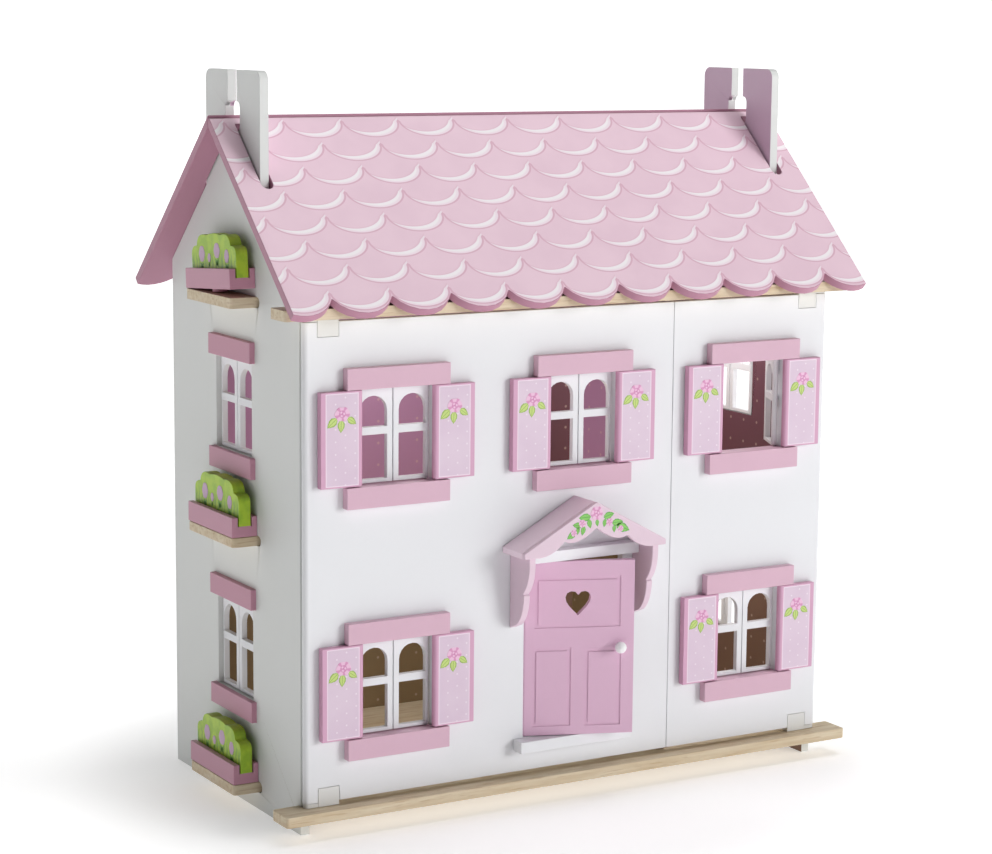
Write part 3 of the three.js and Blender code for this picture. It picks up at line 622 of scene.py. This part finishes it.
def rose_material():
    """Petals drawn round the middle of each bloom: pale curled rims and a darker heart."""
    graph = Graph("rose_petals")
    u, v, _ = graph.xyz(graph.coordinates.outputs["UV"])
    distance = graph.math("SQRT", u * u + v * v)
    angle = graph.math("ARCTAN2", v, u)
    petal = graph.math("ABSOLUTE", graph.math("SINE", angle * 2.5 + 0.6))
    outer = graph.above(petal, 0.55, 0.22) * graph.above(distance, 0.5, 0.12)
    gap = 1 - graph.above(graph.math("ABSOLUTE", distance - 0.42), 0.06, 0.05)
    curl = graph.above(graph.math("SINE", angle * 3 + 1.2), 0.1, 0.3)
    inner = curl * (1 - graph.above(distance, 0.4, 0.06))
    heart = 1 - graph.above(distance, 0.13, 0.05)
    petals = graph.mix(outer * 0.75, ROSE, ROSE_PALE)
    petals = graph.mix(gap * 0.45, petals, ROSE_HEART)
    petals = graph.mix(inner * 0.8, petals, ROSE_PALE)
    petals = graph.mix(heart * 0.7, petals, ROSE_HEART)
    return graph.finish(graph.scaled(petals, speckle(graph, 0.1)), 0.42, petal, 0.05 * MM)


def leaf_material(name, light, dark):
    """A pale leaf with a darker rim and midrib, drawn along the plate's own length."""
    graph = Graph(name)
    u, v, _ = graph.xyz(graph.coordinates.outputs["UV"])
    off = graph.math("ABSOLUTE", v)
    reach = graph.math("POWER", graph.math("MAXIMUM", u, 0.001), 0.8)
    bulge = graph.math("SINE", reach * math.pi)
    rim = graph.above(off / (bulge * 0.3 + 0.001), 0.72, 0.16)
    midrib = 1 - graph.above(off, 0.022, 0.016)
    barbs = graph.above(graph.math("SINE", (u - off * 1.4) * 34), 0.6, 0.3) * 0.35
    drawn = graph.math("MAXIMUM", graph.math("MAXIMUM", rim, midrib), barbs)
    return graph.finish(graph.mix(drawn * 0.85, light, dark), 0.42, drawn, 0.04 * MM)


def upright(x, y, z, turn=0.0):
    """Lay a plate on a wall that faces the front: U to the right, V up and its top outwards."""
    facing = Matrix(((1, 0, 0, 0), (0, 0, -1, 0), (0, 1, 0, 0), (0, 0, 0, 1)))
    return Matrix.Translation((x, y, z)) @ facing @ Matrix.Rotation(turn, 4, "Z")


def shutter_rose(name, low, high, body, petals, leaf):
    """A rose with three leaves on a shutter's field."""
    x = (low.x + high.x) / 2
    z = high.z - (high.z - low.z) * 0.25
    for i, (start, tip) in enumerate(ROSE_LEAVES):
        length = math.dist(start, tip) * MM
        turn = math.atan2(tip[1] - start[1], tip[0] - start[0])
        place = upright(x + start[0] * MM, low.y, z + start[1] * MM, turn)
        outline = leaf_outline(length, length * 0.6)
        raised(
            f"{name}_leaf_{i}", outline, length, RELIEF["shutter_leaf"] * MM,
            place, leaf, body)
    radius = ROSE_RADIUS * MM
    wide, tall = ROSE_STRETCH
    bloom = [(u * wide, v * tall) for u, v in bloom_outline(radius)]
    place = upright(x, low.y, z)
    raised(
        f"{name}_rose", bloom, radius, RELIEF["shutter_rose"] * MM,
        place, petals, body)


def planter_place(name):
    """The flower box's own frame, at its rear bottom edge and tipped as the box is."""
    tip = math.asin(TOP_BOX_RISE / BOX_LENGTH) if name == "top_planter" else 0.0
    shelf = {
        "top_planter": "attic_floor",
        "middle_planter": "first_floor",
        "bottom_planter": "ground_floor",
    }
    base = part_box(shelf[name])[1].z + REST_GAP
    return Matrix.Translation((0, FRONT + BOX_REAR, base)) @ Matrix.Rotation(-tip, 4, "X")


def planter_print(name, place):
    """Pink box, its pink darkened as painted shade, with a lime bush board standing in its groove.
    """
    graph = Graph(f"{name}_paint")
    x, y, z = graph.xyz()
    back = place.inverted()
    up = y * back[2][1] + z * back[2][2] + back[2][3]
    along = y * back[1][1] + z * back[1][2] + back[1][3]
    band = 1 - graph.above(graph.math("ABSOLUTE", x + BUSH_MIDDLE), BUSH_HALF, 0.05 * MM)
    bush = band * graph.above(up, BUSH_FOOT, 0.05 * MM)
    outer = 1 - graph.above(graph.xyz(graph.normal)[0], -0.8, 0.1)
    blades = graph.math("SINE", along * 900 + graph.noise(120, 2) * 9)
    stroke = graph.above(blades, 0.35, 0.3) * (1 - graph.above(up, 30 * MM, 6 * MM)) * outer
    lime = graph.mix(graph.above(graph.noise(90, 3), 0.5, 0.12) * 0.6, BUSH_LIME, BUSH_DARK)
    lime = graph.mix(stroke * 0.55, lime, BUSH_STROKE)
    # The box takes the darker pink, as painted shade.
    box = graph.scaled(SIDE_PINK_PAINTED_SHADE, speckle(graph, 0.08))
    return graph.finish(graph.mix(bush, box, lime), 0.4, graph.noise(700, 2), 0.05 * MM)


def bush_flowers(name, place, body, leaf):
    """Lilac flower heads with small leaves across the bush's outer face."""
    face = Matrix(((0, 0, -1, 0), (-1, 0, 0, 0), (0, 1, 0, 0), (0, 0, 0, 1)))
    petal = paint(f"{name}_lilac", BUSH_FLOWER, 0.42, 0.3)
    for i, (along, up, wide, tall) in enumerate(BUSH_FLOWERS):
        across = along - BOX_LENGTH / 2
        spot = place @ Matrix.Translation((-BUSH_FACE * MM, across * MM, up * MM)) @ face
        head = [(u * wide / tall, v) for u, v in bloom_outline(tall * MM)]
        raised(
            f"{name}_flower_{i}", head, tall * MM, RELIEF["bush_flower"] * MM,
            spot, petal, body)
        for side in (-1, 1):
            turn = Matrix.Rotation(math.radians(90 + side * 38), 4, "Z")
            stalk = Matrix.Translation((side * 1.5 * MM, -tall * 1.9 * MM, 0))
            length = tall * 1.1 * MM
            outline = leaf_outline(length, length * 0.5)
            raised(
                f"{name}_blade_{i}_{side + 1}", outline, length, RELIEF["bush_blade"] * MM,
                spot @ stalk @ turn, leaf, body)


def garland(petals, leaf):
    """Roses and leaves along the porch's front."""
    low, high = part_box("porch_front")
    middle = (low.x + high.x) / 2
    for i, (start, tip) in enumerate(GARLAND_LEAVES):
        length = math.dist(start, tip) * MM
        turn = math.atan2(tip[1] - start[1], tip[0] - start[0])
        place = upright(middle + start[0] * MM, low.y, start[1] * MM, turn)
        outline = leaf_outline(length, length * 0.55)
        raised(
            f"garland_leaf_{i}", outline, length, RELIEF["garland_leaf"] * MM,
            place, leaf, "left_front")
    for i, (x, z, radius) in enumerate(GARLAND_ROSES):
        place = upright(middle + x * MM, low.y, z * MM)
        outline = bloom_outline(radius * MM)
        raised(
            f"garland_rose_{i}", outline, radius * MM, RELIEF["garland_rose"] * MM,
            place, petals, "left_front")


# ---- Studio -------------------------------------------------------------------------------------

def studio():
    """A pale floor that curves up far behind the house, and glows less close to it, as a painted
    shadow.
    """
    profile = [(FLOOR_NEAR, 0), (FLOOR_BEND, 0)]
    steps = 12
    for i in range(1, steps + 1):
        angle = math.pi / 2 * i / steps
        y = FLOOR_BEND + BEND_RADIUS * math.sin(angle)
        profile.append((y, BEND_RADIUS - BEND_RADIUS * math.cos(angle)))
    profile.append((FLOOR_BEND + BEND_RADIUS, FLOOR_TOP))
    shape = bmesh.new()
    sides = (-FLOOR_HALF_WIDTH, FLOOR_HALF_WIDTH)
    rows = [[shape.verts.new((x, y, z - FLOOR_DROP)) for x in sides] for y, z in profile]
    for first, second in zip(rows, rows[1:]):
        shape.faces.new((first[0], first[1], second[1], second[0]))
    mesh = bpy.data.meshes.new("floor_shape")
    shape.to_mesh(mesh)
    shape.free()
    for face in mesh.polygons:
        face.use_smooth = True
    graph = Graph("studio_floor")
    shade = graph.scaled(FLOOR_GREY, 1 + (graph.noise(3, 2) - 0.5) * 0.01)
    graph.finish(shade, 0.9)
    graph.put(graph.surface.inputs["Emission Color"], (1, 1, 1, 1))
    x, y, _ = graph.xyz()
    reach = graph.math("SQRT", x * x + y * y)
    # Less glow near the house: a painted shadow on the floor.
    glow = FLOOR_GLOW
    for edge, soft, gain in GLOW_RINGS:
        glow = glow + graph.above(reach, edge, soft) * gain
    graph.put(graph.surface.inputs["Emission Strength"], glow)
    graph.surface.inputs["Specular IOR Level"].default_value = 0.1
    mesh.materials.append(graph.material)
    floor = bpy.data.objects.new("studio_floor", mesh)
    bpy.context.scene.collection.objects.link(floor)


def soft_box(name, place, target, size, power):
    """A rectangular lamp that faces its target."""
    light = bpy.data.lights.new(name, "AREA")
    light.shape = "RECTANGLE"
    light.size = size[0]
    light.size_y = size[1]
    light.energy = power
    obj = bpy.data.objects.new(name, light)
    bpy.context.scene.collection.objects.link(obj)
    obj.location = place
    obj.rotation_euler = (Vector(target) - Vector(place)).to_track_quat("-Z", "Y").to_euler()
    return obj


def lighting():
    """A large light from the front right, one from above, four room lamps and a faint sky."""
    soft_box("key_light", **KEY_LIGHT)
    soft_box("top_light", **TOP_LIGHT)
    for name, x, z, power in ROOM_LIGHTS:
        y = FRONT + 0.15
        lamp = soft_box(f"{name}_lamp", (x, y, z), (x, y, 0), (0.12, 0.18), power)
        lamp.visible_camera = False
    world = bpy.data.worlds.new("pale_room")
    world.use_nodes = True
    world.node_tree.nodes["Background"].inputs["Color"].default_value = (1, 1, 1, 1)
    world.node_tree.nodes["Background"].inputs["Strength"].default_value = WORLD_LIGHT
    bpy.context.scene.world = world
    bpy.context.scene.view_settings.view_transform = "Standard"


def camera():
    """The camera, in front of the house to the left, a little above the chimneys."""
    yaw, pitch, roll = (math.radians(angle) for angle in CAMERA_TURN)
    ahead = math.cos(pitch)
    forward = Vector((math.sin(yaw) * ahead, math.cos(yaw) * ahead, math.sin(pitch)))
    level = Vector((math.cos(yaw), -math.sin(yaw), 0))
    up = level.cross(forward)
    right = level * math.cos(roll) + up * math.sin(roll)
    top = up * math.cos(roll) - level * math.sin(roll)
    data = bpy.data.cameras.new("camera")
    data.lens = CAMERA_LENS
    data.sensor_width = 36
    data.clip_end = 50
    obj = bpy.data.objects.new("camera", data)
    bpy.context.scene.collection.objects.link(obj)
    turn = Matrix((right, top, -forward)).transposed().to_4x4()
    obj.matrix_world = Matrix.Translation(CAMERA_PLACE) @ turn
    bpy.context.scene.camera = obj


# ---- Dressing the house -------------------------------------------------------------------------

def dress():
    """Show every CAD node as its painted or printed copy, with the decoration on it."""
    white = paint("white_gloss", WHITE, 0.38, 0.03)
    plastic = paint("white_plastic_cap", PLASTIC, 0.3, 0.02)
    trim = paint("trim_pink", TRIM_PINK)
    door = paint("door_pink", DOOR_PINK)
    porch = paint("porch_pink", PORCH_PINK)
    porch_top_painted_light = paint("porch_top_painted_light_pink", PORCH_TOP_PAINTED_LIGHT)
    wood = beech()
    roof = roof_print()
    petals = rose_material()
    leaf = leaf_material("shutter_leaf", LEAF, LEAF_DARK)
    blade = leaf_material("bush_blade", BLADE, BLADE_DARK)
    left_paper = room_paper("left_gable_paper", 0, 1.0, True)
    refined("gable_left", left_paper, BOARD_BEVEL, ARC_STEP)
    right_paper = room_paper("right_gable_paper", 0, -1.0, True)
    refined("gable_right", right_paper, BOARD_BEVEL, ARC_STEP)
    refined("back_wall", room_paper("back_wall_paper", 1, -1.0), WALL_BEVEL)
    refined("centre_partition", room_paper("partition_paper"), WALL_BEVEL)
    for name in ("ground_floor", "first_floor", "attic_floor"):
        refined(name, wood, THICK_BEVEL)
    for name in ("front_roof", "rear_roof"):
        refined(name, roof, THICK_BEVEL, merge=ROOF_MERGE)
    for name in ("left_panel", "right_panel", "door_head", "door_step"):
        refined(name, white, BOARD_BEVEL)
    # The knob's lighter white is painted light.
    knob = paint("knob_white_painted_light", KNOB_WHITE_PAINTED_LIGHT, 0.3, 0.02)
    refined("door_knob", knob, BOARD_BEVEL)
    # The whole porch roof takes the lighter pink, as painted light from above.
    refined("porch_roof", porch_top_painted_light, PORCH_BEVEL)
    for name in ("porch_front", "porch_bracket_left", "porch_bracket_right"):
        refined(name, porch, PORCH_BEVEL)
    refined("front_door", door, DOOR_BEVEL)
    for name, node in NODES.items():
        if name.endswith("_pivot"):
            refined(name, plastic, DOOR_BEVEL)
        elif name.endswith(("_lintel", "_sill")):
            refined(name, trim, BAR_BEVEL)
        elif "_casement_" in name:
            refined(name, white, CASEMENT_BEVEL)
        elif "_shutter_" in name:
            low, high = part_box(name)
            refined(name, shutter_print(name, low, high), THICK_BEVEL)
            shutter_rose(name, low, high, node["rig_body"], petals, leaf)
        elif name.endswith("_planter"):
            place = planter_place(name)
            refined(name, planter_print(name, place), THICK_BEVEL)
            bush_flowers(name, place, node["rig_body"], blade)
    garland(petals, leaf_material("garland_leaf", GARLAND_LEAF, GARLAND_DARK))
    far_casements()


dress()
studio()
lighting()
camera()
